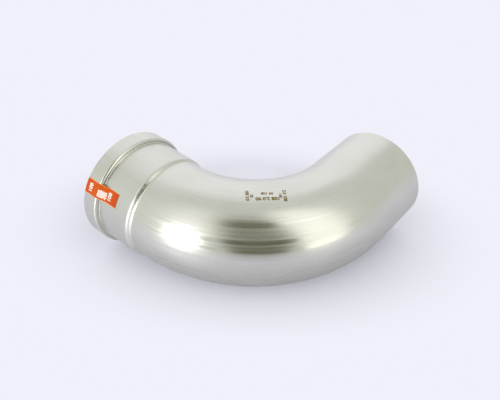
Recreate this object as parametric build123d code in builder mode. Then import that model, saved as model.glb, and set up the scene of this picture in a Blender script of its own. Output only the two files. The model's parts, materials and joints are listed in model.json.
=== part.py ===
from build123d import *
from math import asin, degrees, radians, tan
import os

os.makedirs("parts", exist_ok=True)

# Large-bore stainless steel press elbow: one socket, one plain end.
# Millimetres, +Z up, the bend lying flat in the XY plane.
# Origin: on the socket's axis, where the guide bore starts behind the shoulder that stops the tube.
# The socket opens along +Y. The plain end leaves the bend along +X.

# ---- driving dimensions: the tube ----

tube_diameter = 108.0
wall = 2.0
bend_radius = 129.6             # bend centre to the tube's axis
bend_angle = 90.0
plain_end_length = 63.6         # straight stretch after the bend
plain_end_chamfer = 0.4         # edges broken after sawing

# ---- driving dimensions: the socket, measured on its outside ----

bend_to_shoulder = 0.3          # straight stretch between bend and shoulder
shoulder_angle = 33.0
shoulder_bend = 5.1             # forming radius at the foot and the top of the shoulder
guide_clearance = 0.6           # guide bore over the tube that goes in, on the radius
guide_length = 38.6             # from the origin to the step of the band
chamber_rise = 4.6              # guide to band, on the radius
step_root_bend = 1.0
step_crown_bend = 2.8
mouth_bend = 2.6
lip_clearance = 1.2             # edge of the turned-in lip over the tube, on the radius

# ---- driving dimensions: the rings in the band's chamber, from the step outwards ----

seat_gap = 0.05                 # between pieces that lie against each other
seal_width = 7.4
seal_tube_clearance = 0.45      # on the radius, before pressing
seal_corner = 2.1
separator_width = 1.8
separator_tube_clearance = 0.9
separator_corner = 0.3
grip_running_clearance = 0.35   # grip ring to lip, separator ring and chamber wall
grip_width = 5.5
grip_thickness = 1.2
grip_edge_width = 0.3
grip_edge_clearance = 0.75      # cutting edges over the tube, on the radius
grip_corner = 0.9
grip_tooth_count = 48
grip_tooth_height = 1.5
grip_tooth_edge = 1.0           # length of cutting edge left on each tooth
grip_notch_root = 0.8
grip_split = 7.0                # gap that lets the ring close on the tube

# ---- driving dimensions: the press indicator, an adhesive film laid along the socket ----

strip_width = 15.5
strip_start = 16.3              # from the origin towards the mouth
strip_fold = 4.0                # how far it reaches in over the face of the mouth
strip_thickness = 0.15
strip_lift = 24.0               # degrees at which the film leaves the guide to span the step
strip_lift_bend = 3.0
strip_corner = 0.8
strip_angle = 32.5              # above the bend plane, on the outer side of the bend
strip_spare_turn = 1.0          # trimmed off each side of the film

# ---- sizes that follow ----

tube_radius = tube_diameter / 2
guide_bore_radius = tube_radius + guide_clearance
guide_radius = guide_bore_radius + wall
band_radius = guide_radius + chamber_rise
chamber_radius = band_radius - wall

# the shoulder lies behind the origin, where its top bend runs out into the guide
shoulder_tangent = shoulder_bend * tan(radians(shoulder_angle / 2))
shoulder_top = -shoulder_tangent
shoulder_foot = shoulder_top - (guide_radius - tube_radius) / tan(radians(shoulder_angle))
bend_start = shoulder_foot - shoulder_tangent - bend_to_shoulder

# the rings lie one behind the other in the chamber, and the band is as wide as they need
seal_start = guide_length + wall + seat_gap
separator_start = seal_start + seal_width + seat_gap
grip_start = separator_start + separator_width + grip_running_clearance
grip_end = grip_start + grip_width
mouth_face = grip_end + grip_running_clearance + wall

# ---- elbow body: bent tube with the socket formed on its end ----

with BuildPart() as elbow_body:
    with BuildLine() as run:
        bend = JernArc(
            start=(0, bend_start), tangent=(0, -1), radius=bend_radius, arc_size=bend_angle
        )
        plain_end = Line(bend @ 1, bend @ 1 + plain_end_length * (bend % 1))
    with BuildSketch(Plane(origin=bend @ 0, z_dir=bend % 0)):
        Circle(tube_radius)
        Circle(tube_radius - wall, mode=Mode.SUBTRACT)
    sweep(path=run.line)

    sawn_face = elbow_body.faces().sort_by(Axis(plain_end @ 0, plain_end % 0))[-1]
    chamfer(sawn_face.edges(), plain_end_chamfer)

    with BuildSketch(Plane.XY):
        with BuildLine():
            FilletPolyline(
                (tube_radius, bend_start),
                (tube_radius, shoulder_foot),
                (guide_radius, shoulder_top),
                (guide_radius, guide_length),
                (band_radius, guide_length),
                (band_radius, mouth_face),
                (tube_radius + lip_clearance, mouth_face),
                radius=(shoulder_bend, shoulder_bend, step_root_bend, step_crown_bend, mouth_bend),
            )
            offset(amount=wall, side=Side.LEFT)
        make_face()
    revolve(axis=Axis.Y)
elbow_body.part.label = "elbow_body"
export_step(elbow_body.part, "parts/elbow_body.step")

# ---- seal ring: rubber, seated in the chamber against the inside of the step ----

seal_inner = tube_radius + seal_tube_clearance
seal_height = chamber_radius - seat_gap - seal_inner

with BuildPart() as seal_ring:
    with BuildSketch(Plane.XY):
        with Locations((seal_inner, seal_start)):
            # the corners can't take up more than the ring's own height
            RectangleRounded(
                seal_height,
                seal_width,
                radius=min(seal_corner, 0.45 * seal_height),
                align=Align.MIN,
            )
    revolve(axis=Axis.Y)
seal_ring.part.label = "seal_ring"
export_step(seal_ring.part, "parts/seal_ring.step")

# ---- separator ring: plastic washer that keeps the teeth off the rubber ----

separator_inner = tube_radius + separator_tube_clearance

with BuildPart() as separator_ring:
    with BuildSketch(Plane.XY):
        with Locations((separator_inner, separator_start)):
            RectangleRounded(
                chamber_radius - seat_gap - separator_inner,
                separator_width,
                radius=separator_corner,
                align=Align.MIN,
            )
    revolve(axis=Axis.Y)
separator_ring.part.label = "separator_ring"
export_step(separator_ring.part, "parts/separator_ring.step")

# ---- grip ring: split steel ring of channel section, toothed along both inner edges ----

grip_outer = chamber_radius - grip_running_clearance
grip_floor = grip_outer - grip_thickness
grip_edge = tube_radius + grip_edge_clearance

with BuildPart() as grip_ring:
    with BuildSketch(Plane.XY) as channel:
        Polygon(
            (grip_outer, grip_start),
            (grip_outer, grip_end),
            (grip_edge, grip_end),
            (grip_edge, grip_end - grip_edge_width),
            (grip_floor, grip_end - grip_thickness),
            (grip_floor, grip_start + grip_thickness),
            (grip_edge, grip_start + grip_edge_width),
            (grip_edge, grip_start),
            align=None,
        )
        chamfer(channel.vertices().group_by(Axis.X)[-1], grip_corner)
    revolve(axis=Axis.Y)

    # a notch tapers outwards from the tooth edges, and its mouth reaches inside them
    tooth_pitch = 360 / grip_tooth_count
    notch_mouth = 2 * grip_edge * tan(radians(tooth_pitch / 2)) - grip_tooth_edge
    with BuildSketch(Plane.XZ.offset(-grip_end)):
        with PolarLocations(grip_edge, grip_tooth_count, start_angle=90):
            Polygon(
                (-grip_edge_clearance, -notch_mouth / 2),
                (0, -notch_mouth / 2),
                (grip_tooth_height, -grip_notch_root / 2),
                (grip_tooth_height, grip_notch_root / 2),
                (0, notch_mouth / 2),
                (-grip_edge_clearance, notch_mouth / 2),
                align=None,
            )
        with Locations((0, (grip_edge + grip_outer) / 2)):
            Rectangle(grip_split, 2 * (grip_outer - grip_edge))
    extrude(amount=grip_end - grip_start, mode=Mode.SUBTRACT)
grip_ring.part.label = "grip_ring"
export_step(grip_ring.part, "parts/grip_ring.step")

# ---- press indicator strip: film glued along the socket and folded over its mouth ----

film_guide = guide_radius + seat_gap
film_band = band_radius + seat_gap
film_face = mouth_face + seat_gap
strip_middle = Plane.XY.rotated((0, 180 + strip_angle, 0))    # its X runs out through the strip
strip_half_turn = degrees(asin(strip_width / 2 / (film_band - strip_fold))) + strip_spare_turn

# the film lies on the crown of the step and runs straight from there down to the guide
film_crown_bend = step_crown_bend + seat_gap
film_crown = guide_length + step_crown_bend - film_crown_bend * tan(radians(strip_lift / 2))
film_lift_start = film_crown - (film_band - film_guide) / tan(radians(strip_lift))

with BuildPart() as press_indicator_strip:
    with BuildSketch(strip_middle.rotated((0, -strip_half_turn, 0))):
        with BuildLine():
            FilletPolyline(
                (film_guide, strip_start),
                (film_guide, film_lift_start),
                (film_band, film_crown),
                (film_band, film_face),
                (film_band - strip_fold, film_face),
                radius=(strip_lift_bend, film_crown_bend, mouth_bend + seat_gap),
            )
            offset(amount=strip_thickness, side=Side.RIGHT)
        make_face()
    revolve(axis=Axis.Y, revolution_arc=2 * strip_half_turn)
    # trimmed to a rectangle with rounded corners, seen square on
    with BuildSketch(Plane(origin=(0, 0, 0), x_dir=(0, 1, 0), z_dir=strip_middle.x_dir)):
        with Locations((strip_start, 0)):
            RectangleRounded(
                film_face - strip_start + 2 * strip_corner,
                strip_width,
                radius=strip_corner,
                align=(Align.MIN, Align.CENTER),
            )
    extrude(amount=2 * band_radius, mode=Mode.INTERSECT)
press_indicator_strip.part.label = "press_indicator_strip"
export_step(press_indicator_strip.part, "parts/press_indicator_strip.step")
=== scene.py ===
"""Looks of a large-bore stainless steel press elbow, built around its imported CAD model.

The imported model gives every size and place. This script builds the tube as one smooth wall with its
drawn and pickled finish, the rings in the chamber of its socket, the printed film along the socket and
the oxide marking on the bend, and stands them on a pale table in soft studio light. Metres throughout.
"""

import json
import logging
import math
from dataclasses import dataclass, field
from enum import IntEnum
from typing import Callable

import bmesh
import bpy
from bmesh.types import BMEdge, BMesh, BMVert
from bpy.types import Material, Node, NodeSocket, NodeTree, Object, World
from mathutils import Matrix, Vector


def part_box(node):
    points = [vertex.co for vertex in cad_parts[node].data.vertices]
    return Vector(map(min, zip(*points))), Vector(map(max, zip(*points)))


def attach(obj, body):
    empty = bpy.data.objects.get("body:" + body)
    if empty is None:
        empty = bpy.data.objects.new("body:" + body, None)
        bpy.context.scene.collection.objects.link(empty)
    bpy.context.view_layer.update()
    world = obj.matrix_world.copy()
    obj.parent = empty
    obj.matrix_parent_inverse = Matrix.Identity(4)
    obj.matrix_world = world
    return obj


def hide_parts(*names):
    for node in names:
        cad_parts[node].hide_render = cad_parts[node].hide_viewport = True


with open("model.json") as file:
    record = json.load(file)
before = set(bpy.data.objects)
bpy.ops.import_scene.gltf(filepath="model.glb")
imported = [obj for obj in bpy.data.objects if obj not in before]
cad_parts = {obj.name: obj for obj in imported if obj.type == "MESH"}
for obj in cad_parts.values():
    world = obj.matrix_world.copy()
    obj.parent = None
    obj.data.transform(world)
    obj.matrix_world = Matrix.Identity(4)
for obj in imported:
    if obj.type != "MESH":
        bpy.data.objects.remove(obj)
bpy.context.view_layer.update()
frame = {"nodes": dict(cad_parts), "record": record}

MM = 0.001
BAKE_MAP = "OFBake"          # map of the unrolled wall, round it and along it, for bake and tangent
RUN_SPACE = "run_space"      # attribute: the tube made straight, so that patterns follow the bend
FLAT_SPACE = "flat_space"    # attribute: the film as it was cut, flat, with its middle line along X
MERGE = 0.002 * MM           # points nearer than this are one
CLEAR = 0.005 * MM           # between a print and what it is on
RING_TURN, COARSE_TURN = 15.0, 22.5    # degrees that an edge turns on the rings and on tiny bends

Stops = tuple[tuple[float, float], ...]      # places along a direction, and the value at each
Light = tuple[float, float, float, float]    # linear, 1 being white paper in full light

log = logging.getLogger("press_elbow")


# ---- small helpers ----


def linear(hex_colour: str) -> tuple[float, float, float, float]:
    """Turn an sRGB hex colour into the linear values that shaders take.

    Args:
        hex_colour: six hex digits with a leading hash.

    Returns:
        Linear red, green and blue, and an alpha of 1.
    """
    channels = [int(hex_colour[i : i + 2], 16) / 255 for i in (1, 3, 5)]
    curve = [c / 12.92 if c <= 0.04045 else ((c + 0.055) / 1.055) ** 2.4 for c in channels]
    return (curve[0], curve[1], curve[2], 1.0)


def feed(node: Node, inputs: dict | tuple | list) -> None:
    """Fill or link a node's inputs.

    Args:
        node: the node.
        inputs: values by input name, or in the order of the inputs. A socket is linked, and so is the
            first output in use of a node.
    """
    for name, value in inputs.items() if isinstance(inputs, dict) else enumerate(inputs):
        if isinstance(value, Node):
            value = next(output for output in value.outputs if output.enabled)
        if isinstance(value, NodeSocket):
            node.id_data.links.new(value, node.inputs[name])
        else:
            node.inputs[name].default_value = value


def add_node(tree: NodeTree, kind: str, inputs: dict | tuple | list = (), **settings: object) -> Node:
    """Add a node, set its properties, and fill or link its inputs.

    Args:
        tree: the node tree that gets the node.
        kind: the node's type name, after the words that all of these start with.
        inputs: what its inputs get, as in feed.
        settings: properties of the node itself.

    Returns:
        The new node.
    """
    node = tree.nodes.new(f"ShaderNode{kind}")
    for name, value in settings.items():
        setattr(node, name, value)
    feed(node, inputs)
    return node


def empty_tree(owner: Material | World) -> NodeTree:
    """Give a material or a world a node tree with nothing in it.

    Args:
        owner: the material or world.

    Returns:
        Its node tree.
    """
    owner.use_nodes = True
    owner.node_tree.nodes.clear()
    return owner.node_tree


def new_piece(bm: BMesh, name: str, materials: list[Material]) -> Object:
    """Turn a finished bmesh into an object at the origin.

    Args:
        bm: the mesh, already in its place. It is freed.
        name: name of the object.
        materials: its materials, in slot order.

    Returns:
        The object.
    """
    mesh = bpy.data.meshes.new(name)
    bm.to_mesh(mesh)
    bm.free()
    for material in materials:
        mesh.materials.append(material)
    piece = bpy.data.objects.new(name, mesh)
    bpy.context.scene.collection.objects.link(piece)
    return piece


def shade(bm: BMesh, sharp_angle: float = 32.0) -> None:
    """Shade a mesh smooth, with hard edges where it turns sharply.

    Args:
        bm: the mesh.
        sharp_angle: degrees from which an edge stays hard.
    """
    for face in bm.faces:
        face.smooth = True
    for edge in bm.edges:
        if len(edge.link_faces) == 2:
            edge.smooth = edge.calc_face_angle(0.0) < math.radians(sharp_angle)


def face_outwards(bm: BMesh) -> None:
    """Merge doubles and point all faces of a closed mesh outwards."""
    bmesh.ops.remove_doubles(bm, verts=bm.verts[:], dist=MERGE)
    bmesh.ops.recalc_face_normals(bm, faces=bm.faces[:])


def corners(edges: list[BMEdge]) -> list[BMVert]:
    """The points of some edges, each once."""
    return list({vert for edge in edges for vert in edge.verts})


def make_film(bm: BMesh, step: float, thickness: float) -> None:
    """Cut a flat mesh into a grid, so that it can be laid on a curved wall, and thicken it upwards.

    Args:
        bm: the mesh, in the XY plane.
        step: distance between cuts.
        thickness: thickness of the closed shell that it becomes, from the plane up.
    """
    for axis in (0, 1):
        places = [vert.co[axis] for vert in bm.verts]
        place = math.floor(min(places) / step) * step + step
        while place < max(places):
            along = Vector((axis == 0, axis == 1, 0))
            everything = bm.verts[:] + bm.edges[:] + bm.faces[:]
            bmesh.ops.bisect_plane(bm, geom=everything, plane_co=along * place, plane_no=along)
            place += step
    bmesh.ops.remove_doubles(bm, verts=bm.verts[:], dist=MERGE)
    bmesh.ops.solidify(bm, geom=bm.faces[:], thickness=thickness)
    bmesh.ops.recalc_face_normals(bm, faces=bm.faces[:])
    bmesh.ops.translate(bm, verts=bm.verts[:], vec=(0, 0, -min(vert.co.z for vert in bm.verts)))


def lay_on(bm: BMesh, lay: Callable[[Vector], Vector]) -> None:
    """Move every point of a flat mesh to where it lies on a wall, as lay says."""
    for vert in bm.verts:
        vert.co = lay(vert.co)


@dataclass(frozen=True)
class NumberLine:
    """A line of plain numbers on a flat sheet: place of its middle, height and turn in degrees."""

    text: str
    along: float
    across: float
    height: float
    turned: float = 0.0

    def flat(self, weight: float) -> BMesh:
        """Flat mesh of the numbers in the XY plane, facing +Z.

        Args:
            weight: how much bolder than the plain font, as a share of the height.

        Returns:
            The mesh.
        """
        curve = bpy.data.curves.new("numbers", "FONT")
        curve.body = self.text
        curve.resolution_u = 3
        curve.offset = weight
        holder = bpy.data.objects.new("numbers", curve)
        flat = bpy.data.meshes.new_from_object(holder)
        bm = bmesh.new()
        bm.from_mesh(flat)
        bpy.data.objects.remove(holder)
        bpy.data.curves.remove(curve)
        bpy.data.meshes.remove(flat)
        low, high = (
            Vector([limit(vert.co[axis] for vert in bm.verts) for axis in range(3)]) for limit in (min, max)
        )
        bmesh.ops.translate(bm, verts=bm.verts[:], vec=-(low + high) / 2)
        bmesh.ops.scale(bm, verts=bm.verts[:], vec=Vector((1, 1, 1)) * (self.height / (high.y - low.y)))
        turn = Matrix.Rotation(math.radians(self.turned), 3, "Z")
        bmesh.ops.rotate(bm, verts=bm.verts[:], cent=(0, 0, 0), matrix=turn)
        bmesh.ops.translate(bm, verts=bm.verts[:], vec=(self.along, self.across, 0))
        return bm


# ---- sizes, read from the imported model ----


@dataclass(frozen=True)
class Fitting:
    """Sizes of the elbow, in metres.

    The socket's axis is +Y through the origin, and the plain end leaves along +X. Along the tube a place
    is (run, angle, radius): run is the length from the start of the bend, negative in the socket, and
    angle is 0 on the outer side of the bend, in its plane, and a quarter turn on top.
    """

    tube_radius: float
    bend_radius: float
    bend_start: float
    plain_end_face: float
    guide_bore: float
    guide_length: float
    band_radius: float
    mouth_face: float
    wall: float = 2.0 * MM
    shoulder_angle: float = math.radians(33)
    shoulder_bend: float = 5.1 * MM
    step_root_bend: float = 1.0 * MM
    step_crown_bend: float = 2.8 * MM
    mouth_bend: float = 2.6 * MM
    lip_clearance: float = 1.2 * MM

    @classmethod
    def from_frame(cls, record: dict) -> "Fitting":
        """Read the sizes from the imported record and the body's box.

        Args:
            record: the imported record.

        Returns:
            The sizes.
        """
        mounts = {mount["name"]: mount for mount in record["mounts"]}
        socket = mounts["socket"]["dims"]
        plain_end = mounts["plain_end"]
        low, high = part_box("elbow_body")
        bend_radius = 2 * plain_end["pos_m"][0] - high.x
        return cls(
            tube_radius=plain_end["dims"]["r_mm"] * MM,
            bend_radius=bend_radius,
            bend_start=plain_end["pos_m"][1] + bend_radius,
            plain_end_face=high.x,
            guide_bore=socket["r_mm"] * MM,
            guide_length=socket["length_mm"] * MM + cls.step_root_bend,
            band_radius=-low.x,
            mouth_face=high.y,
        )

    @property
    def guide_radius(self) -> float:
        """Outer radius of the guide."""
        return self.guide_bore + self.wall

    @property
    def bend_length(self) -> float:
        """Length of the bend along its axis."""
        return self.bend_radius * math.pi / 2

    @property
    def run_length(self) -> float:
        """Length from the start of the bend to the sawn end."""
        return self.bend_length + self.plain_end_face - self.bend_radius

    @property
    def bend_centre(self) -> Vector:
        """Centre about which the tube is bent."""
        return Vector((self.bend_radius, self.bend_start, 0))

    def place(self, run: float, angle: float, radius: float) -> Vector:
        """Point at a place along the tube.

        Args:
            run: length from the start of the bend.
            angle: angle round the tube, in radians.
            radius: distance from the tube's axis.

        Returns:
            The point in the row frame.
        """
        turned = min(max(run, 0.0), self.bend_length) / self.bend_radius
        beyond = run - min(max(run, 0.0), self.bend_length)
        outward = Vector((-math.cos(turned), -math.sin(turned), 0))
        along = Vector((math.sin(turned), -math.cos(turned), 0))
        axis = self.bend_centre + self.bend_radius * outward + beyond * along
        return axis + radius * (math.cos(angle) * outward + math.sin(angle) * Vector((0, 0, 1)))

    def locate(self, point: Vector) -> tuple[float, float, float]:
        """Place along the tube of a point near its wall.

        Args:
            point: a point in the row frame.

        Returns:
            Run, angle and radius.
        """
        if point.y > self.bend_start:
            run = self.bend_start - point.y
            outward = -point.x
        elif point.x > self.bend_radius:
            run = self.bend_length + point.x - self.bend_radius
            outward = (self.bend_start - self.bend_radius) - point.y
        else:
            arm = (point - self.bend_centre).xy
            run = self.bend_radius * math.atan2(-arm.y, -arm.x)
            outward = arm.length - self.bend_radius
        return run, math.atan2(point.z, outward), math.hypot(outward, point.z)

    def socket_moves(self) -> list[tuple[float, float, float]]:
        """The socket's outer profile as a list of moves, from the start of the bend to the lip.

        Returns:
            For each move a straight length, then a turn in radians (left is positive) and its radius.
        """
        quarter, slope = math.pi / 2, self.shoulder_angle
        bend = self.shoulder_bend * math.tan(slope / 2)
        rise = self.guide_radius - self.tube_radius
        shoulder_foot = -bend - rise / math.tan(slope)
        crown, root, mouth = self.step_crown_bend, self.step_root_bend, self.mouth_bend
        lip_edge = self.tube_radius + self.lip_clearance
        return [
            (shoulder_foot - bend - self.bend_start, -slope, self.shoulder_bend),
            (rise / math.sin(slope) - 2 * bend, slope, self.shoulder_bend),
            (self.guide_length - root, -quarter, root),
            (self.band_radius - self.guide_radius - root - crown, quarter, crown),
            (self.mouth_face - self.guide_length - crown - mouth, quarter, mouth),
            (self.band_radius - mouth - lip_edge, 0.0, 0.0),
        ]


# ---- drawing profiles ----


@dataclass(frozen=True)
class Track:
    """A line of straight runs and round bends, in the half plane of radius and place along the axis.

    Each move is a straight length, then a turn in radians (left is positive) and its radius.
    """

    start: tuple[float, float]
    moves: tuple[tuple[float, float, float], ...]

    @property
    def length(self) -> float:
        """Length of the whole line."""
        return sum(length + abs(turn) * radius for length, turn, radius in self.moves)

    def at(self, distance: float, height: float = 0.0) -> tuple[float, float]:
        """Place at a distance along the line, which sets out along the axis.

        Args:
            distance: length from the start.
            height: how far the place stands off the line, to its right.

        Returns:
            Radius and place along the axis.
        """
        radius, along = self.start
        heading = math.pi / 2
        for length, turn, bend in self.moves:
            step = min(distance, length)
            radius += step * math.cos(heading)
            along += step * math.sin(heading)
            distance -= step
            turned = math.copysign(min(distance, abs(turn) * bend) / bend, turn) if turn else 0.0
            if turned:
                side = heading + math.copysign(math.pi / 2, turn)
                radius += bend * (math.cos(side) - math.cos(side + turned))
                along += bend * (math.sin(side) - math.sin(side + turned))
                heading += turned
                distance -= abs(turned) * bend
        radius += distance * math.cos(heading)
        along += distance * math.sin(heading)
        right = heading - math.pi / 2
        return radius + height * math.cos(right), along + height * math.sin(right)


class ProfilePen:
    """Draws a wire in the XY plane by extruding and spinning its tip, X being the radius."""

    def __init__(self, bm: BMesh, start: tuple[float, float], heading: float) -> None:
        """Put the pen down.

        Args:
            bm: the mesh that gets the wire.
            start: radius and place along the axis.
            heading: direction of travel, in degrees from +X.
        """
        self.bm = bm
        self.first = bm.verts.new((start[0], start[1], 0))
        self.tip = self.first
        self.heading = math.radians(heading)

    def forward(self, length: float, longest: float = 2.4 * MM) -> "ProfilePen":
        """Draw a straight run.

        Args:
            length: its length.
            longest: how long a step may be.

        Returns:
            The pen.
        """
        steps = max(1, math.ceil(length / longest))
        step = Vector((math.cos(self.heading), math.sin(self.heading), 0)) * (length / steps)
        for _ in range(steps):
            self.tip = bmesh.ops.extrude_vert_indiv(self.bm, verts=[self.tip])["verts"][0]
            bmesh.ops.translate(self.bm, verts=[self.tip], vec=step)
        return self

    def turn(self, angle: float, radius: float, finest: float = 7.5) -> "ProfilePen":
        """Draw a round bend that joins the run before it smoothly.

        Args:
            angle: turn in radians, left being positive.
            radius: its radius.
            finest: degrees that each short edge turns.

        Returns:
            The pen.
        """
        side = self.heading + math.copysign(math.pi / 2, angle)
        centre = self.tip.co + radius * Vector((math.cos(side), math.sin(side), 0))
        steps = math.ceil(abs(math.degrees(angle)) / finest)
        made = bmesh.ops.spin(
            self.bm, geom=[self.tip], cent=centre, axis=(0, 0, 1), angle=angle, steps=steps
        )
        self.tip = [part for part in made["geom_last"] if isinstance(part, BMVert)][0]
        self.heading += angle
        return self


def spin_profile(bm: BMesh, steps: int) -> None:
    """Turn the wires in a mesh once round the socket's axis.

    Args:
        bm: the mesh.
        steps: how many times they are repeated round it.
    """
    wires = [edge for edge in bm.edges if edge.is_wire]
    whole = {"cent": (0, 0, 0), "axis": (0, 1, 0), "angle": 2 * math.pi, "steps": steps}
    bmesh.ops.spin(bm, geom=corners(wires) + wires, use_merge=True, **whole)


# ---- finishes ----


@dataclass(frozen=True)
class Finish:
    """A real material: its name and the plain values of its surface."""

    name: str
    colour: str
    roughness: float
    metallic: float = 0.0

    def start(self) -> tuple[Material, NodeTree, Node]:
        """Make the material with its surface shader.

        Returns:
            The material, its node tree and the shader node.
        """
        material = bpy.data.materials.new(self.name)
        tree = empty_tree(material)
        plain = {"Base Color": linear(self.colour), "Roughness": self.roughness, "Metallic": self.metallic}
        surface = add_node(tree, "BsdfPrincipled", plain)
        add_node(tree, "OutputMaterial", {"Surface": surface})
        return material, tree, surface

    def make(self) -> Material:
        """Make the material."""
        raise NotImplementedError


@dataclass(frozen=True)
class Stripes:
    """Lengthwise stripes that the mandrel and the bending die burnished, which also carry painted shade."""

    # the same stops also set how much painted shade darkens the stripes' colour
    stops: Stops                    # degrees round the tube, and how burnished it is there
    sets_in: tuple[float, float]    # millimetres along the tube over which they set in
    fades: tuple[float, float]      # and over which they fade


@dataclass(frozen=True)
class DrawnStainless(Finish):
    """Austenitic stainless tube, cold drawn, bent over a mandrel and pickled.

    Drawing leaves fine lengthwise lines, which blur reflections. The mandrel and the bending die burnish a
    few lengthwise stripes, and those mirror more sharply than the satin between them. Their colour is
    painted a little darker, painted shade that stands in for the dark reflection they show. Pickling leaves
    faint clouds.
    """

    tint: str = "#D7D7D2"
    # painted shade: the stripes' darker colour stands in for the dark reflection that they show
    stripe_colour: str = "#CAC8BF"
    line_spacing: float = 0.8 * MM      # real lines are finer, about 0.1 mm, and wouldn't show
    line_length: float = 140 * MM
    line_depth: float = 0.0008 * MM
    streak_width: float = 2.1 * MM
    streak_length: float = 170 * MM
    streak_depth: float = 0.015 * MM
    streak_roughness: float = 0.18
    # along the plain end the streaks are calmer: millimetres along the tube, and their share there
    calm_stretch: tuple[float, float] = (215.0, 120.0)
    calm_share: float = 0.35
    cloud_size: float = 17 * MM
    cloud_stretch: float = 1.6          # along the tube
    cloud_roughness: float = 0.05
    stripe_roughness: float = -0.2
    # the socket's rolls left a duller surface up to the start of the bend
    formed_stretch: tuple[float, float] = (6.0, -6.0)
    formed_roughness: float = 0.07
    # they pressed hardest in the socket's bends: degrees round the tube between which they made them
    # smoother, on the upper side, and scuffed them, low on the outer side, and the roughness added
    bend_changes: tuple[tuple[float, float, float], ...] = ((88.0, 62.0, -0.17), (50.0, 36.0, 0.3))
    anisotropy: float = 0.5             # the lines spread reflections across themselves
    # the stripes set a smoother roughness, and also the painted shade of the colour
    burnish: tuple[Stripes, ...] = (
        Stripes(
            (
                (15.0, 0.0), (21.0, 0.0), (24.2, 0.6), (28.5, 0.5), (30.6, 0.0),
                (32.2, 0.0), (33.8, 1.0), (36.6, 0.85), (38.0, 0.0), (42.5, 0.0),
            ),
            (38.0, 78.0),
            (190.0, 130.0),
        ),
        Stripes(
            ((45.0, 0.0), (48.7, 0.0), (50.4, 0.75), (54.0, 0.65), (59.0, 0.0), (65.0, 0.0)),
            (48.0, 82.0),
            (128.0, 98.0),
        ),
    )
    # the mouth, the step and the shoulder: millimetres along the tube, and how hard each was rolled
    mouth_and_step: Stops = (
        (-66.0, 1.0), (-62.5, 0.6), (-60.5, 0.0), (-50.5, 0.0), (-48.0, 1.0), (-44.8, 1.0),
        (-43.6, 0.0),
    )
    shoulder: Stops = ((-10.0, 0.0), (-7.3, 1.0), (-0.5, 1.0), (2.0, 0.0))
    shoulder_share: float = 0.5

    @staticmethod
    def worked(tree: NodeTree, place: Node, stops: Stops) -> Node:
        """How much the steel was worked, from place to place along one direction.

        Args:
            tree: the material's node tree.
            place: angle round the tube or length along it.
            stops: places, in order, and the value at each.

        Returns:
            A node that gives 0 in the satin and 1 where it was worked most.
        """
        low, high = stops[0][0], stops[-1][0]
        spread = add_node(tree, "MapRange", (place, low, high))
        node = add_node(tree, "ValToRGB", (spread,))
        node.color_ramp.interpolation = "EASE"
        elements = node.color_ramp.elements
        for index, (stop, value) in enumerate(stops):
            share = (stop - low) / (high - low)
            element = elements[index] if index < 2 else elements.new(share)
            element.position = share
            element.color = (value, value, value, 1.0)
        return node

    def make(self) -> Material:
        """Make the material, with its pattern.

        Returns:
            The material.
        """
        material, tree, surface = self.start()
        place = add_node(tree, "Attribute", attribute_name=RUN_SPACE).outputs["Vector"]
        parts = add_node(tree, "SeparateXYZ", (place,)).outputs
        angle = add_node(tree, "Math", (parts["Y"], parts["X"]), operation="ARCTAN2")
        degrees = add_node(tree, "Math", (angle,), operation="DEGREES")
        run = add_node(tree, "Math", (parts["Z"], 1 / MM), operation="MULTIPLY")

        def lengthwise(width: float, length: float, detail: float) -> Node:
            """Noise stretched along the tube.

            Args:
                width: size of its grains round the tube.
                length: their length along it.
                detail: how many finer grains lie in them.

            Returns:
                The noise node.
            """
            scale = (1 / width, 1 / width, 1 / length)
            stretched = add_node(tree, "VectorMath", (place, scale), operation="MULTIPLY")
            pattern = {"Vector": stretched, "Scale": 1.0, "Detail": detail, "Roughness": 0.5}
            return add_node(tree, "TexNoise", pattern)

        lines = lengthwise(self.line_spacing, self.line_length, 2.0)
        clouds = lengthwise(self.cloud_size, self.cloud_size * self.cloud_stretch, 4.0)
        streaks = lengthwise(self.streak_width, self.streak_length, 0.0)
        streaks = add_node(tree, "Math", (streaks, 0.5), operation="SUBTRACT")
        calm = (run, *self.calm_stretch, self.calm_share, 1.0)
        calm = add_node(tree, "MapRange", calm, interpolation_type="SMOOTHSTEP")
        streaks = add_node(tree, "Math", (streaks, calm, 0.5), operation="MULTIPLY_ADD")

        stripe = 0.0
        for group in self.burnish:
            there = self.worked(tree, degrees, group.stops)
            for ends in (group.sets_in, group.fades):
                share = add_node(tree, "MapRange", (run, *ends), interpolation_type="SMOOTHSTEP")
                there = add_node(tree, "Math", (there, share), operation="MULTIPLY")
            stripe = add_node(tree, "Math", (there, stripe), operation="ADD")

        # colour: clouds of the pickle, then the stripes' painted shade, a darker colour for their dark
        # reflection
        colour = linear(self.colour)
        for share, other in ((clouds, self.tint), (stripe, self.stripe_colour)):
            blend = {"Factor": share, "A": colour, "B": linear(other)}
            colour = add_node(tree, "Mix", blend, data_type="RGBA")

        # roughness: satin, with streaks, clouds, the mirror of the stripes, and what the rolls did
        formed = add_node(tree, "MapRange", (run, *self.formed_stretch), interpolation_type="SMOOTHSTEP")
        changes = [
            (formed, self.formed_roughness),
            (streaks, self.streak_roughness),
            (clouds, self.cloud_roughness),
            (stripe, self.stripe_roughness),
        ]
        shoulder = self.worked(tree, run, self.shoulder)
        mouth_and_step = self.worked(tree, run, self.mouth_and_step)
        bends = (shoulder, self.shoulder_share, mouth_and_step)
        bends = add_node(tree, "Math", bends, operation="MULTIPLY_ADD")
        for start, end, added in self.bend_changes:
            there = add_node(tree, "MapRange", (degrees, start, end))
            changes.append((add_node(tree, "Math", (there, bends), operation="MULTIPLY"), added))
        rough = self.roughness - (self.streak_roughness + self.cloud_roughness) / 2
        for share, added in changes:
            rough = add_node(tree, "Math", (share, added, rough), operation="MULTIPLY_ADD")

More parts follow.
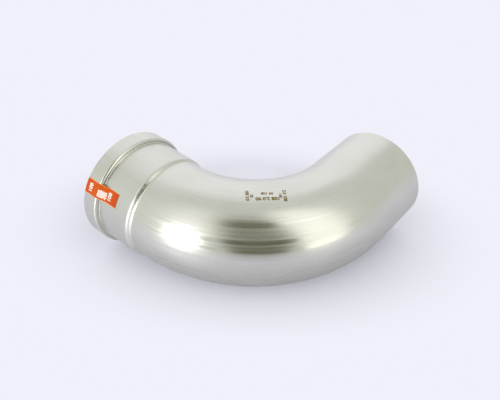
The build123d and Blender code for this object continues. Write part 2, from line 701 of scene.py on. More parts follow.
        fine = add_node(tree, "Bump", {"Height": lines, "Distance": self.line_depth})
        relief = {"Height": streaks, "Distance": self.streak_depth, "Normal": fine}
        inputs = {
            "Base Color": colour,
            "Roughness": rough,
            "Normal": add_node(tree, "Bump", relief),
            "Anisotropic": self.anisotropy,
            "Tangent": add_node(tree, "Tangent", direction_type="UV_MAP", uv_map=BAKE_MAP),
        }
        feed(surface, inputs)
        return material


@dataclass(frozen=True)
class PlainFinish(Finish):
    """A finish whose detail is a fine grain: sawn steel, mill-finish steel, rubber, moulded plastic."""

    grain: float = 0.5 * MM
    relief: float = 0.004 * MM
    roughness_spread: float = 0.1
    tint: str = "#A6A49C"
    cloud_grains: float = 30.0      # size of the clouds of its tint, in grains

    def make(self) -> Material:
        """Make the material, with its pattern.

        Returns:
            The material.
        """
        material, tree, surface = self.start()
        place = add_node(tree, "TexCoord").outputs["Object"]
        grain = {"Vector": place, "Scale": 1 / self.grain, "Detail": 4.0, "Roughness": 0.6}
        speckle = add_node(tree, "TexNoise", grain)
        cloud = {"Vector": place, "Scale": 1 / (self.cloud_grains * self.grain), "Detail": 3.0}
        clouds = add_node(tree, "TexNoise", cloud)
        blend = {"Factor": clouds, "A": linear(self.colour), "B": linear(self.tint)}
        rough = {
            "Value": speckle,
            "To Min": self.roughness - self.roughness_spread,
            "To Max": self.roughness + self.roughness_spread,
        }
        inputs = {
            "Base Color": add_node(tree, "Mix", blend, data_type="RGBA"),
            "Roughness": add_node(tree, "MapRange", rough),
            "Normal": add_node(tree, "Bump", {"Height": speckle, "Distance": self.relief}),
        }
        feed(surface, inputs)
        return material


@dataclass(frozen=True)
class PrintedFilm(Finish):
    """Polyester film printed solid orange under a clear gloss laminate, laid on by hand.

    The print is darker towards its ends, and its cut edge is paler. The
    laminate gives a sharp glare over faint ripples of the adhesive.
    """

    end_colour: str = "#B43400"
    edge_colour: str = "#F4A860"
    half_length: float = 24 * MM
    even_share: float = 0.3         # of the half length, over which the print is even
    half_width: float = 7.75 * MM
    edge: float = 0.3 * MM
    mottle: float = 2.5 * MM
    ripple: float = 5.0 * MM
    ripple_depth: float = 0.012 * MM
    gloss_weight: float = 0.42
    gloss_ior: float = 1.6
    gloss_roughness: float = 0.045

    def make(self) -> Material:
        """Make the material, with its pattern.

        Returns:
            The material.
        """
        material, tree, surface = self.start()
        place = add_node(tree, "Attribute", attribute_name=FLAT_SPACE).outputs["Vector"]
        parts = add_node(tree, "SeparateXYZ", (place,)).outputs
        mottle = add_node(tree, "TexNoise", {"Vector": place, "Scale": 1 / self.mottle, "Detail": 4.0})
        ripples = add_node(tree, "TexNoise", {"Vector": place, "Scale": 1 / self.ripple, "Detail": 1.0})
        colour = linear(self.colour)
        # towards its ends and along its sides: the stretch over which it sets in, its share and colour
        for axis, start, end, most, other in (
            ("X", self.even_share * self.half_length, self.half_length, mottle, self.end_colour),
            ("Y", self.half_width - 2 * self.edge, self.half_width - self.edge / 2, 1.0, self.edge_colour),
        ):
            distance = add_node(tree, "Math", (parts[axis],), operation="ABSOLUTE")
            share = add_node(tree, "MapRange", (distance, start, end), interpolation_type="SMOOTHSTEP")
            share = add_node(tree, "Math", (share, most), operation="MULTIPLY")
            blend = {"Factor": share, "A": colour, "B": linear(other)}
            colour = add_node(tree, "Mix", blend, data_type="RGBA")
        bump = add_node(tree, "Bump", {"Height": ripples, "Distance": self.ripple_depth})
        inputs = {
            "Base Color": colour,
            "Normal": bump,
            "Coat Normal": bump,
            "Specular IOR Level": 0.0,
            "Coat Weight": self.gloss_weight,
            "Coat IOR": self.gloss_ior,
            "Coat Roughness": self.gloss_roughness,
        }
        feed(surface, inputs)
        return material


# cold drawn and pickled 1.4401 tube: satin, pale and slightly warm, with a lengthwise lie
DRAWN_STAINLESS = DrawnStainless("drawn_pickled_stainless", "#CACAC2", 0.3, 1.0)
# the tube's inside keeps its mill finish, which is duller and greyer
MILL_STAINLESS = PlainFinish(
    "mill_finish_stainless", "#B9B8B0", 0.42, 1.0, grain=0.9 * MM, relief=0.006 * MM, tint="#ABAAA2"
)
# the sawn end is bright, with the fine scratches of its brushing
SAWN_STAINLESS = PlainFinish(
    "sawn_stainless", "#C9C9C4", 0.34, 1.0, grain=0.3 * MM, relief=0.01 * MM, tint="#BDBDB8"
)
# spring strip, stamped and rolled to a ring: grey, with the sheen of rolling oil burnt off
STAMPED_STAINLESS = PlainFinish("stamped_spring_stainless", "#B4B3AE", 0.32, 1.0)
# compression-moulded EPDM: matt black with a faint bloom
MOULDED_RUBBER = PlainFinish(
    "moulded_epdm", "#202021", 0.62, grain=0.25 * MM, relief=0.008 * MM, tint="#2A2A2B"
)
# injection-moulded acetal: off-white, waxy
MOULDED_ACETAL = PlainFinish(
    "moulded_acetal", "#DEDCD4", 0.44, grain=0.3 * MM, relief=0.003 * MM, tint="#D5D2C8"
)
PRINTED_FILM = PrintedFilm("printed_polyester_film", "#CA5300", 0.45)
# screen-printed ink, matt, a little uneven where it thins
WHITE_INK = PlainFinish(
    "white_screen_ink", "#F6F4F0", 0.5, grain=0.3 * MM, relief=0.002 * MM, tint="#F0E2D2"
)
# oxide grown by a marking laser: matt straw to brown
OXIDE_MARK = PlainFinish(
    "laser_oxide_mark", "#2C2606", 0.5, 0.1, grain=0.35 * MM, relief=0.002 * MM, tint="#1C1804"
)
# the thinner oxide round each stroke: satin straw
STRAW_TINT = PlainFinish(
    "laser_straw_tint", "#CDBB7C", 0.36, 0.8, grain=0.35 * MM, relief=0.002 * MM, tint="#D8C78C"
)


# ---- the elbow's wall ----


class WallSide(IntEnum):
    """Sides of the tube's wall, in the order of its materials."""

    OUTSIDE = 0
    INSIDE = 1
    SAWN = 2


@dataclass
class ElbowBody:
    """The tube wall: socket, bend and plain end in one closed mesh."""

    fitting: Fitting
    round_steps: int = 160
    bend_steps: int = 96
    end_steps: int = 12
    lip_edge: float = 0.25 * MM
    saw_chamfer: float = 0.4 * MM
    outer_share: float = 0.64     # of the map's width, for the outer wall
    girth: float = field(default=0.0, init=False)

    def draw_socket(self, bm: BMesh) -> None:
        """Draw the wall's section, outer side, lip edge and inner side, and turn it round the axis.

        Args:
            bm: the mesh.
        """
        fitting = self.fitting
        *bends, (last, _, _) = fitting.socket_moves()
        bm.verts.layers.float.new("girth")
        bm.verts.layers.float_vector.new(RUN_SPACE)
        pen = ProfilePen(bm, (fitting.tube_radius, fitting.bend_start), 90)
        for length, angle, radius in bends:
            pen.forward(length).turn(angle, radius)
        quarter = math.pi / 2
        pen.forward(last - self.lip_edge).turn(quarter, self.lip_edge, COARSE_TURN)
        pen.forward(fitting.wall - 2 * self.lip_edge).turn(quarter, self.lip_edge, COARSE_TURN)
        pen.forward(last - self.lip_edge)
        for length, angle, radius in reversed(bends):
            pen.turn(-angle, radius - math.copysign(fitting.wall, angle)).forward(length)
        self.measure(bm, pen.first)
        spin_profile(bm, self.round_steps)

    def measure(self, bm: BMesh, first: BMVert) -> None:
        """Write the length along the section into a vertex layer, which the spin then copies.

        Args:
            bm: the mesh with the section's wire.
            first: the wire's first vertex.
        """
        layer = bm.verts.layers.float["girth"]
        vert, edge, length = first, None, 0.0
        while True:
            vert[layer] = length
            onward = [e for e in vert.link_edges if e is not edge]
            if not onward:
                break
            edge = onward[0]
            length += edge.calc_length()
            vert = edge.other_vert(vert)
        self.girth = length

    def draw_tube(self, bm: BMesh) -> None:
        """Bend and lengthen the two open ends of the socket's wall, and close the sawn end.

        Args:
            bm: the mesh with the socket.
        """
        fitting = self.fitting
        layer = bm.verts.layers.float["girth"]
        rims = [edge for edge in bm.edges if edge.is_boundary]
        made = bmesh.ops.spin(
            bm,
            geom=corners(rims) + rims,
            cent=fitting.bend_centre,
            axis=(0, 0, 1),
            angle=math.pi / 2,
            steps=self.bend_steps,
        )["geom_last"]
        rims = [part for part in made if isinstance(part, BMEdge)]
        straight = fitting.run_length - fitting.bend_length - self.saw_chamfer
        for length in [straight / self.end_steps] * self.end_steps + [self.saw_chamfer]:
            grown = bmesh.ops.extrude_edge_only(bm, edges=rims)["geom"]
            rims = [part for part in grown if isinstance(part, BMEdge)]
            bmesh.ops.translate(bm, verts=corners(rims), vec=(length, 0, 0))
        # the last step takes in both edges of the sawn end, which chamfers them
        centre = Vector((fitting.plain_end_face, fitting.bend_start - fitting.bend_radius, 0))
        for inner in (False, True):
            radius = fitting.tube_radius - (fitting.wall if inner else 0)
            cut = radius + (self.saw_chamfer if inner else -self.saw_chamfer)
            bmesh.ops.scale(
                bm,
                verts=[vert for vert in corners(rims) if (vert[layer] > self.girth / 2) == inner],
                vec=(1, cut / radius, cut / radius),
                space=Matrix.Translation(-centre),
            )
        bmesh.ops.bridge_loops(bm, edges=rims)

    def unroll(self, bm: BMesh) -> None:
        """Write the unrolled places that the finish and its bake need.

        Args:
            bm: the finished wall.
        """
        fitting = self.fitting
        girth_layer = bm.verts.layers.float["girth"]
        space = bm.verts.layers.float_vector[RUN_SPACE]
        angle_share: dict[int, float] = {}
        for index, vert in enumerate(bm.verts):
            vert.index = index
            run, angle, radius = fitting.locate(vert.co)
            vert[space] = (radius * math.cos(angle), radius * math.sin(angle), run)
            # the map's seam lies underneath
            angle_share[index] = round((angle / (2 * math.pi) + 0.25) % 1.0, 6) % 1.0
            # past the start of the bend the section's length goes on: back outside, ahead inside
            if run > 0.01 * MM:
                inner = radius < fitting.tube_radius - fitting.wall / 2
                vert[girth_layer] = self.girth + run if inner else -run
        chart = bm.loops.layers.uv.new(BAKE_MAP)
        outer_end = self.girth / 2 + fitting.run_length
        for face in bm.faces:
            girths = [vert[girth_layer] for vert in face.verts]
            shares = [angle_share[vert.index] for vert in face.verts]
            # only the sawn end's faces reach from the outer side to the inner
            sawn = max(girths) - min(girths) > self.girth
            for loop, girth, share in zip(face.loops, girths, shares):
                # a face across the seam stays whole, past the map's end
                if max(shares) - min(shares) > 0.5 and share < 0.5:
                    share += 1.0
                place = girth + fitting.run_length
                if sawn and girth < 0:
                    place = 2 * outer_end + fitting.wall
                if place <= outer_end:
                    across = self.outer_share * place / outer_end
                else:
                    beyond = (place - outer_end) / (outer_end + fitting.wall)
                    across = self.outer_share + (1 - self.outer_share) * beyond
                loop[chart].uv = (share, across)
            inside = sum(girths) / len(girths) > self.girth / 2
            face.material_index = (
                WallSide.SAWN if sawn else WallSide.INSIDE if inside else WallSide.OUTSIDE
            )

    def build(self) -> list[Object]:
        """Build and dress the wall.

        Returns:
            The piece, in a list.
        """
        bm = bmesh.new()
        self.draw_socket(bm)
        self.draw_tube(bm)
        face_outwards(bm)
        self.unroll(bm)
        shade(bm)
        finishes = {
            WallSide.OUTSIDE: DRAWN_STAINLESS,
            WallSide.INSIDE: MILL_STAINLESS,
            WallSide.SAWN: SAWN_STAINLESS,
        }
        piece = new_piece(bm, "elbow_wall", [finishes[side].make() for side in WallSide])
        # the large faces lead the shading, so that straight stretches stay even
        shading = piece.modifiers.new("even_shading", "WEIGHTED_NORMAL")
        shading.keep_sharp = True
        shading.weight = 60
        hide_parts("elbow_body")
        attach(piece, "fitting")
        return [piece]


# ---- the rings in the chamber ----


@dataclass
class ChamberRings:
    """Seal, separator and grip ring, which lie one behind the other in the socket's chamber."""

    round_steps: int = 160
    seal_corner: float = 2.1 * MM
    separator_corner: float = 0.3 * MM
    mould_line: float = 0.25 * MM       # radius of the fine line that the mould's parting leaves in the bore
    broken_edge: float = 0.1 * MM       # edges of the stamped ring after tumbling
    flat_turn: float = math.radians(1)      # below this two of its faces are one
    sharp_turn: float = math.radians(25)    # and above this the edge between them is broken

    def turn_ring(self, node: str, name: str, corner: float, parted: bool, finish: Finish) -> Object:
        """Make a ring of round-cornered section that fills the box of its CAD node.

        Args:
            node: the CAD node that it replaces.
            name: name of the piece.
            corner: radius of the section's corners.
            parted: whether the bore has a mould line.
            finish: its finish.

        Returns:
            The piece.
        """
        low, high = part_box(node)
        loose = frame["nodes"][node].data.vertices
        bore = min(math.hypot(vert.co.x, vert.co.z) for vert in loose)
        width, height = high.y - low.y, high.x - bore
        quarter = math.pi / 2
        bm = bmesh.new()
        pen = ProfilePen(bm, (bore + corner, low.y), 0)
        for side in (height, width, height):
            pen.forward(side - 2 * corner).turn(quarter, corner, RING_TURN)
        if parted:
            # two short bends in and out again, and one of twice their turn between them
            line = 4 * self.mould_line * math.sin(quarter / 2)
            flat = (width - 2 * corner - line) / 2
            pen.forward(flat)
            for turn in (-quarter / 2, quarter, -quarter / 2):
                pen.turn(turn, self.mould_line, COARSE_TURN)
            pen.forward(flat)
        else:
            pen.forward(width - 2 * corner)
        pen.turn(quarter, corner, RING_TURN)
        spin_profile(bm, self.round_steps)
        face_outwards(bm)
        shade(bm)
        piece = new_piece(bm, name, [finish.make()])
        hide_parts(node)
        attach(piece, "fitting")
        return piece

    def stamp_grip(self) -> Object:
        """Break the edges of the toothed ring, which keeps the shape of its CAD node.

        Returns:
            The piece.
        """
        bm = bmesh.new()
        bm.from_mesh(frame["nodes"]["grip_ring"].data)
        bmesh.ops.remove_doubles(bm, verts=bm.verts[:], dist=MERGE)
        bmesh.ops.dissolve_limit(bm, angle_limit=self.flat_turn, verts=bm.verts[:], edges=bm.edges[:])
        sharp = [
            edge
            for edge in bm.edges
            if len(edge.link_faces) == 2 and edge.calc_face_angle(0.0) > self.sharp_turn
        ]
        bmesh.ops.bevel(
            bm,
            geom=sharp,
            offset=self.broken_edge,
            affect="EDGES",
            segments=2,
            profile=0.5,
            material=-1,
            clamp_overlap=True,
        )
        face_outwards(bm)
        shade(bm)
        piece = new_piece(bm, "toothed_grip_ring", [STAMPED_STAINLESS.make()])
        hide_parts("grip_ring")
        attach(piece, "grip")
        return piece

    def build(self) -> list[Object]:
        """Build and dress the rings.

        Returns:
            The pieces.
        """
        seal, separator = self.seal_corner, self.separator_corner
        return [
            self.turn_ring("seal_ring", "rubber_seal", seal, True, MOULDED_RUBBER),
            self.turn_ring("separator_ring", "plastic_separator", separator, False, MOULDED_ACETAL),
            self.stamp_grip(),
        ]


# ---- the film along the socket ----


@dataclass
class PressIndicator:
    """Orange film laid along the socket, over its step and in over its mouth, with white numbers."""

    fitting: Fitting
    angle: float = math.radians(32.5)     # above the bend plane, on the outer side of the bend
    width: float = 15.5 * MM
    start: float = 16.3 * MM
    fold: float = 4.0 * MM
    corner: float = 0.8 * MM
    gap: float = 0.05 * MM
    thickness: float = 0.15 * MM
    lift: float = math.radians(24)        # slope at which it spans the step
    lift_bend: float = 3.0 * MM
    grid: float = 0.5 * MM
    numbers: tuple[NumberLine, ...] = tuple(
        NumberLine("108", along, 0.0, 4.9 * MM, -90.0) for along in (10.8 * MM, 34.6 * MM)
    )
    ink: float = 0.02 * MM
    ink_weight: float = 0.035     # how much bolder than the font, as a share of the height

    def path(self) -> Track:
        """Line that the film's underside follows.

        Returns:
            The line, in distance from the axis and place along it.
        """
        fitting = self.fitting
        guide, band = fitting.guide_radius + self.gap, fitting.band_radius + self.gap
        crown_bend, mouth_bend = fitting.step_crown_bend + self.gap, fitting.mouth_bend + self.gap
        share = math.tan(self.lift / 2)
        crown = fitting.guide_length + fitting.step_crown_bend - crown_bend * share
        foot = crown - (band - guide) / math.tan(self.lift)
        slope = (band - guide) / math.sin(self.lift)
        return Track(
            (guide, self.start),
            (
                (foot - self.start - self.lift_bend * share, -self.lift, self.lift_bend),
                (slope - (self.lift_bend + crown_bend) * share, self.lift, crown_bend),
                (
                    fitting.mouth_face + self.gap - mouth_bend - crown - crown_bend * share,
                    math.pi / 2,
                    mouth_bend,
                ),
                (self.fold - mouth_bend, 0.0, 0.0),
            ),
        )

    def lay(self, point: Vector) -> Vector:
        """Where a point of the flat film comes to lie.

        Args:
            point: place along the film, across it, and above its underside.

        Returns:
            The point in the row frame.
        """
        radius, along = self.path().at(point.x, point.z)
        turned = self.angle - math.asin(point.y / radius)
        return Vector((-radius * math.cos(turned), along, radius * math.sin(turned)))

    def cut_film(self) -> Object:
        """Cut the film to its rounded rectangle and lay it on.

        Returns:
            The piece.
        """
        length = self.path().length
        bm = bmesh.new()
        bmesh.ops.create_grid(bm, x_segments=1, y_segments=1, size=0.5)
        bmesh.ops.scale(bm, verts=bm.verts[:], vec=(length, self.width, 1))
        bmesh.ops.translate(bm, verts=bm.verts[:], vec=(length / 2, 0, 0))
        bmesh.ops.bevel(
            bm,
            geom=bm.verts[:],
            offset=self.corner,
            affect="VERTICES",
            segments=4,
            profile=0.5,
            material=-1,
        )
        make_film(bm, self.grid, self.thickness)
        space = bm.verts.layers.float_vector.new(FLAT_SPACE)
        for vert in bm.verts:
            vert[space] = vert.co - Vector((length / 2, 0, 0))
        lay_on(bm, self.lay)
        shade(bm, sharp_angle=50.0)
        piece = new_piece(bm, "orange_film", [PRINTED_FILM.make()])
        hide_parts("press_indicator_strip")
        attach(piece, "fitting")
        return piece

    def print_numbers(self) -> list[Object]:
        """Print a number across each end of the film.

        Returns:
            The pieces.
        """
        pieces = []
        material = WHITE_INK.make()
        for index, line in enumerate(self.numbers):
            bm = line.flat(self.ink_weight)
            make_film(bm, self.grid, self.ink)
            bmesh.ops.translate(bm, verts=bm.verts[:], vec=(0, 0, self.thickness + CLEAR))
            lay_on(bm, self.lay)
            piece = new_piece(bm, f"film_number_{index + 1}", [material])
            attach(piece, "fitting")
            pieces.append(piece)
        return pieces

    def build(self) -> list[Object]:
        """Build and dress film and numbers."""
        return [self.cut_film(), *self.print_numbers()]


# ---- the marking on the bend ----


@dataclass
class BendMarking:
    """Block of plain numbers in oxide on top of the bend, which reads from the bend's inner side.

    A laser draws the block flat from straight above, so its lines stay straight over the curved wall.
    """

    fitting: Fitting
    run: float = 103.1 * MM
    angle: float = math.radians(84.5)
    lines: tuple[NumberLine, ...] = (
        NumberLine("108 2.0 90", 0.0, 3.0 * MM, 4.1 * MM),
        NumberLine("90 108", -0.4 * MM, -3.7 * MM, 3.2 * MM),
        NumberLine("108 2.0", 18.4 * MM, -1.4 * MM, 3.4 * MM, 90.0),
        NumberLine("20", 14.4 * MM, -0.6 * MM, 3.0 * MM, 90.0),
        NumberLine("2.0 108", -17.0 * MM, -0.8 * MM, 3.6 * MM, 90.0),
        NumberLine("160", -12.9 * MM, -0.4 * MM, 3.0 * MM, 90.0),
    )
    grid: float = 0.75 * MM
    layer: float = 0.02 * MM
    stroke_weight: float = 0.02       # how much bolder than the font, as a share of the height
    tint_weight: float = 0.06

    def lay(self, point: Vector) -> Vector:
        """Where a point of the flat block comes to lie.

        Args:
            point: the point, from the middle of the block.

        Returns:
            The point in the row frame.
        """
        fitting = self.fitting
        small = 0.01
        middle = fitting.place(self.run, self.angle, fitting.tube_radius)
        back = fitting.place(self.run - small, self.angle, fitting.tube_radius) - middle
        down = fitting.place(self.run, self.angle - small, fitting.tube_radius) - middle
        flat = middle + point.x * back.normalized() + point.y * down.normalized()
        run, angle, _ = fitting.locate(flat)
        return fitting.place(run, angle, fitting.tube_radius + CLEAR + point.z)

    def build(self) -> list[Object]:
        """Build and dress the marking: the straw tint, then the strokes on it.

        Returns:
            The pieces.
        """
        pieces = []
        for name, weight, thickness, finish in (
            ("bend_numbers_tint", self.tint_weight, self.layer / 2, STRAW_TINT),
            ("bend_numbers", self.stroke_weight, self.layer, OXIDE_MARK),
        ):
            marks = bmesh.new()
            for line in self.lines:
                bm = line.flat(weight)
                make_film(bm, self.grid, thickness)
                lay_on(bm, self.lay)
                part = bpy.data.meshes.new("mark_line")
                bm.to_mesh(part)
                bm.free()
                marks.from_mesh(part)
                bpy.data.meshes.remove(part)
            piece = new_piece(marks, name, [finish.make()])
            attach(piece, "fitting")
            pieces.append(piece)
        return pieces


# ---- the studio ----


def direction(azimuth: float, elevation: float) -> Vector:
    """Direction towards an azimuth, 0 being -Y and 90 being +X, and an elevation, in degrees."""
    turn, rise = math.radians(azimuth), math.radians(elevation)
    return Vector((math.sin(turn) * math.cos(rise), -math.cos(turn) * math.cos(rise), math.sin(rise)))


@dataclass(frozen=True)
class Softbox:
    """An oval area lamp: where it stands as seen from a point on the elbow, its size and its brightness."""

    azimuth: float
    elevation: float
    distance: float
    width: float
    height: float
    radiance: float


@dataclass(frozen=True)
class RoundPart:
    """A round, soft-edged part of the room: direction of its middle, outer and inner rim, in degrees."""

    azimuth: float
    elevation: float
    outer: float
    inner: float
    light: Light

    def share(self, tree: NodeTree, view: NodeSocket) -> Node:
        """Add the nodes that tell where this part of the room is.

        Args:
            tree: the world's node tree.
            view: the direction that is looked in.

        Returns:
            A node that gives 1 inside this part and 0 outside.
        """
        middle = (view, direction(self.azimuth, self.elevation))
        middle = add_node(tree, "VectorMath", middle, operation="DOT_PRODUCT")
        rims = [math.cos(math.radians(angle)) for angle in (self.outer, self.inner)]
        return add_node(tree, "MapRange", (middle, *rims), interpolation_type="SMOOTHSTEP")


@dataclass(frozen=True)
class Pane:
    """A soft-edged upright part of the room with rounded corners, such as a window.

    The direction of its middle, its half sizes and its lean are in degrees.
    """

    azimuth: float
    elevation: float
    half_width: float
    half_height: float
    edge: float         # how soft it is, as a share of the half sizes
    lean: float
    light: Light
    bands: tuple[tuple[Stops, Light], ...]    # sines of the elevation over which another light sets in
    squareness: float = 3.0
    front: float = 0.1      # cosine from its middle at which it is whole, since it has a double behind

    def share(self, tree: NodeTree, view: NodeSocket) -> Node:
        """Add the nodes that tell where this part of the room is.

        Args:
            tree: the world's node tree.
            view: the direction that is looked in.

        Returns:
            A node that gives 1 inside this part and 0 outside.
        """
        axis = direction(self.azimuth, self.elevation)
        level = axis.cross(Vector((0, 0, 1))).normalized()
        side = Matrix.Rotation(math.radians(self.lean), 3, axis) @ level
        ahead = add_node(tree, "VectorMath", (view, axis), operation="DOT_PRODUCT")
        # how far to the side and up, in half sizes: their powers add up to 1 on its rounded outline
        reach = 0.0
        for across, half in ((side, self.half_width), (axis.cross(side), self.half_height)):
            aside = add_node(tree, "VectorMath", (view, across), operation="DOT_PRODUCT")
            for value, operation in (
                (ahead, "DIVIDE"),
                (math.tan(math.radians(half)), "DIVIDE"),
                (0.0, "ABSOLUTE"),
                (self.squareness, "POWER"),
                (reach, "ADD"),
            ):
                aside = add_node(tree, "Math", (aside, value), operation=operation)
            reach = aside
        fades = [
            add_node(tree, "MapRange", stretch, interpolation_type="SMOOTHSTEP")
            for stretch in ((ahead, 0.0, self.front), (reach, 1 + self.edge, 1 - self.edge))
        ]
        return add_node(tree, "Math", fades, operation="MULTIPLY")

    def glow(self, tree: NodeTree, height: Node) -> Node:
        """Add the nodes for its light, which changes with height.

        Args:
            tree: the world's node tree.
            height: sine of the elevation that is looked in.

        Returns:
            A node that gives the light.
        """
        light = self.light
        for stretches, other in self.bands:
            share = 1.0
            for low, high in stretches:
                there = add_node(tree, "MapRange", (height, low, high), interpolation_type="SMOOTHSTEP")
                share = add_node(tree, "Math", (there, share), operation="MULTIPLY")
            light = add_node(tree, "Mix", {"Factor": share, "A": light, "B": other}, data_type="RGBA")
        return light


@dataclass
class Studio:
    """Pale table, soft light and camera."""

    fitting: Fitting
    paper: str = "#F0F0FA"
    table_tones: tuple[str, str] = ("#D6D6E6", "#D9D9E8")
    table_mottle: float = 1 / 9               # metres
    table_radius: float = 4.0
    table_sides: int = 96
    table_roughness: float = 0.45
    # oval round the part outside which the table is even backdrop
    shade_middle: tuple[float, float, float] = (0.083, -0.042, 0.0)
    shade_reach: tuple[float, float, float] = (0.300, 0.179, 10.0)
    shade_turn: float = math.radians(-53.9)
    # distances, of which the oval is 1, over which the backdrop sets in, and its least and greatest share:
    # for the camera and for its mirror image in the steel
    seen_lift: tuple[float, ...] = (0.3, 1.0, 0.0, 1.0)
    mirrored_lift: tuple[float, ...] = (0.5, 1.8, 0.03, 0.92)
    # the same in metres round a point between the two legs: painted light, more of the backdrop there, which
    # lifts the table's shadow
    lit_middle: tuple[float, float, float] = (0.150, 0.012, -0.059)
    lit_lift: tuple[float, ...] = (0.16, 0.0, 0.0, 0.6)
    rest_angle: float = math.radians(70)      # round the bend, where the tube touches the table
    most_lean: float = math.radians(15)
    halvings: int = 40                        # of that span, to find how far the table leans
    front: float = -43.0                      # azimuth of the camera's side
    front_edge: float = 0.66                  # how far the table reaches there
    # the lamp's beam meets the tube here: run and angle
    lit_place: tuple[float, float] = (41 * MM, math.radians(26))
    softbox: Softbox = Softbox(-93, 10.5, 0.8, 0.21, 0.188, 30.0)
    walls: Light = (0.78, 0.795, 0.735, 1.0)
    round_parts: tuple[RoundPart, ...] = (
        RoundPart(-85, 51, 34, 8, (1.22, 1.23, 1.15, 1.0)),      # wall that the left softbox lights
        RoundPart(-122, 12, 42, 12, (0.92, 0.93, 0.87, 1.0)),    # wall on the left, which stands nearer
        RoundPart(144, 23, 47, 34, (1.15, 1.15, 1.18, 1.0)),     # bright sweep of paper behind the part
    )
    # the room's dark opening in front, and a window beside it, whose sill throws back more light
    panes: tuple[Pane, ...] = (
        Pane(
            -46, 32.5, 21.6, 44.8, 0.9, 3.6, (0.205, 0.20, 0.145, 1.0),
            ((((0.74, 0.55), (0.41, 0.533)), (0.37, 0.365, 0.305, 1.0)),),
        ),
        Pane(
            -0.5, 26.4, 15.2, 53.7, 0.95, -3.9, (1.57, 1.56, 1.45, 1.0),
            ((((0.3, 0.85),), (1.77, 1.75, 1.64, 1.0)), (((0.25, 0.0),), (2.05, 2.03, 1.89, 1.0))),
        ),
    )
    camera_place: tuple[float, float, float] = (-0.2792, -0.3392, 0.4011)
    camera_right: tuple[float, float, float] = (0.6340, -0.7724, 0.0378)
    camera_up: tuple[float, float, float] = (0.5215, 0.4631, 0.7166)
    focal_length: float = 40.24
    lens_shift: tuple[float, float] = (-0.025, 0.044)
    up: Vector = field(default_factory=lambda: Vector((0, 0, 1)), init=False)
    level: float = field(default=0.0, init=False)

    def find_table(self) -> None:
        """Find the plane that the band and the tube rest on, which leans a little to the part's own axes."""
        fitting = self.fitting
        lean = Vector((math.cos(self.rest_angle), math.sin(self.rest_angle), 0))

        def heights(tilt: float) -> tuple[Vector, float, float]:
            """How the part stands on a table that leans.

            Args:
                tilt: how far the table leans, in radians.

            Returns:
                Its up direction, and the lowest places of tube and band along it.
            """
            up = math.sin(tilt) * lean + math.cos(tilt) * Vector((0, 0, 1))
            tube = up.dot(fitting.bend_centre) - fitting.bend_radius * math.sin(tilt) - fitting.tube_radius
            crown = fitting.step_crown_bend
            ring = fitting.band_radius - crown
            band = up.y * (fitting.guide_length + crown) - ring * math.hypot(up.x, up.z) - crown
            return up, tube, band

        low, high = 0.0, self.most_lean
        for _ in range(self.halvings):
            middle = (low + high) / 2
            _, tube, band = heights(middle)
            low, high = (middle, high) if tube > band else (low, middle)
        self.up, tube, band = heights(low)
        self.level = min(tube, band)
        log.info("table leans %.2f degrees", math.degrees(low))

    def table_paper(self) -> Material:
        """Matt paper, which turns into the even backdrop with distance, and has painted light between the
        two legs.

        Returns:
            The material.
        """
        material = bpy.data.materials.new("matt_table_paper")
        tree = empty_tree(material)
        place = add_node(tree, "TexCoord").outputs["Object"]
        mottle = add_node(tree, "TexNoise", {"Vector": place, "Scale": 1 / self.table_mottle, "Detail": 3.0})
        low, high = (linear(tone) for tone in self.table_tones)
        tone = add_node(tree, "Mix", {"Factor": mottle, "A": low, "B": high}, data_type="RGBA")
        surface = {"Base Color": tone, "Roughness": self.table_roughness}
        surface = add_node(tree, "BsdfPrincipled", surface)
        backdrop = add_node(tree, "Emission", {"Color": linear(self.paper)})
        oval = {
            "Vector": place,
            "Location": self.shade_middle,
            "Rotation": (0.0, 0.0, self.shade_turn),
            "Scale": self.shade_reach,
        }
        oval = add_node(tree, "Mapping", oval, vector_type="TEXTURE")
        distance = add_node(tree, "VectorMath", (oval,), operation="LENGTH")
        inside = add_node(tree, "VectorMath", (place, self.lit_middle), operation="DISTANCE")
        seen, mirrored, lit = (
            add_node(tree, "MapRange", stretch, interpolation_type="SMOOTHSTEP")
            for stretch in (
                (distance, *self.seen_lift),
                (distance, *self.mirrored_lift),
                (inside, *self.lit_lift),
            )
        )
        rays = add_node(tree, "LightPath").outputs
        # painted light: near the point between the legs the camera sees more of the even backdrop, which
        # lightens the shadow there
        share = add_node(tree, "Math", (seen, lit), operation="MAXIMUM")
        share = add_node(tree, "Math", (rays["Is Camera Ray"], share), operation="MULTIPLY")
        share = (rays["Is Glossy Ray"], mirrored, share)
        share = add_node(tree, "Math", share, operation="MULTIPLY_ADD")
        mixed = add_node(tree, "MixShader", (share, surface, backdrop))
        add_node(tree, "OutputMaterial", {"Surface": mixed})
        return material

    def table(self) -> None:
        """Lay the pale table top."""
        bm = bmesh.new()
        bmesh.ops.create_circle(bm, cap_ends=True, segments=self.table_sides, radius=self.table_radius)
        # its front edge lies below the camera
        front = direction(self.front, 0)
        bmesh.ops.bisect_plane(
            bm,
            geom=bm.verts[:] + bm.edges[:] + bm.faces[:],
            plane_co=front * self.front_edge,
            plane_no=front,
            clear_outer=True,
        )
        turn = Vector((0, 0, 1)).rotation_difference(self.up).to_matrix()
        bmesh.ops.rotate(bm, verts=bm.verts[:], cent=(0, 0, 0), matrix=turn)
        bmesh.ops.translate(bm, verts=bm.verts[:], vec=self.up * self.level)
        table = new_piece(bm, "table_top", [self.table_paper()])

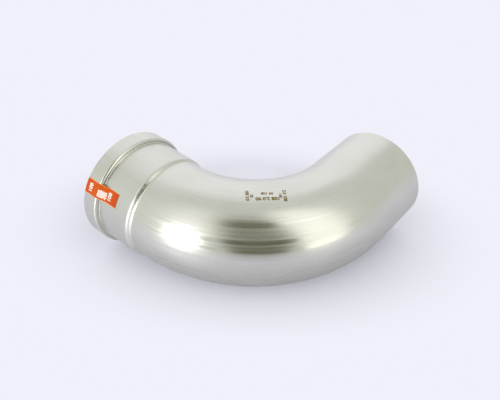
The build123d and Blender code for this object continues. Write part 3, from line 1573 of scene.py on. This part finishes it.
    def lamp(self) -> None:
        """Set up the softbox left of the camera."""
        box = self.softbox
        lamp = bpy.data.lights.new("left_softbox", "AREA")
        lamp.shape = "ELLIPSE"
        lamp.size, lamp.size_y = box.width, box.height
        lamp.energy = box.radiance * math.pi * box.width * box.height * math.pi / 4
        holder = bpy.data.objects.new("left_softbox", lamp)
        towards = direction(box.azimuth, box.elevation)
        lit = self.fitting.place(*self.lit_place, self.fitting.tube_radius)
        holder.location = lit + box.distance * towards
        holder.rotation_euler = towards.to_track_quat("Z", "Y").to_euler()
        bpy.context.scene.collection.objects.link(holder)

    def room(self) -> None:
        """Make the room's light: a bright sweep behind the part, grey sides, a dark opening in front."""
        world = bpy.data.worlds.new("studio_room")
        bpy.context.scene.world = world
        tree = empty_tree(world)
        view = add_node(tree, "TexCoord").outputs["Generated"]
        height = add_node(tree, "VectorMath", (view, (0, 0, 1)), operation="DOT_PRODUCT")
        layers = [(part.share(tree, view), part.light) for part in self.round_parts]
        layers += [(pane.share(tree, view), pane.glow(tree, height)) for pane in self.panes]
        layers.append((add_node(tree, "LightPath").outputs["Is Camera Ray"], linear(self.paper)))
        light = self.walls
        for share, other in layers:
            light = add_node(tree, "Mix", {"Factor": share, "A": light, "B": other}, data_type="RGBA")
        add_node(tree, "OutputWorld", {"Surface": add_node(tree, "Background", {"Color": light})})

    def camera(self) -> None:
        """Set up the camera."""
        right, up = Vector(self.camera_right), Vector(self.camera_up)
        back = right.cross(up).normalized()
        up = back.cross(right).normalized()
        lens = bpy.data.cameras.new("camera")
        lens.sensor_width = 36
        lens.lens = self.focal_length
        lens.shift_x, lens.shift_y = self.lens_shift
        lens.clip_start = 0.01
        holder = bpy.data.objects.new("camera", lens)
        axes = Matrix((right.normalized(), up, back)).transposed()
        holder.matrix_world = Matrix.Translation(self.camera_place) @ axes.to_4x4()
        bpy.context.scene.collection.objects.link(holder)
        bpy.context.scene.camera = holder

    def build(self) -> None:
        """Set up table, light and camera."""
        bpy.context.scene.view_settings.view_transform = "Standard"
        self.find_table()
        self.table()
        self.lamp()
        self.room()
        self.camera()


def main() -> None:
    """Build every piece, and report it."""
    logging.basicConfig(level=logging.INFO, format="%(name)s: %(message)s")
    fitting = Fitting.from_frame(frame["record"])
    log.info("%s", fitting)
    for part in (ElbowBody(fitting), ChamberRings(), PressIndicator(fitting), BendMarking(fitting)):
        for piece in part.build():
            log.info("%s: %d faces", piece.name, len(piece.data.polygons))
    Studio(fitting).build()


if __name__ == "__main__":
    main()
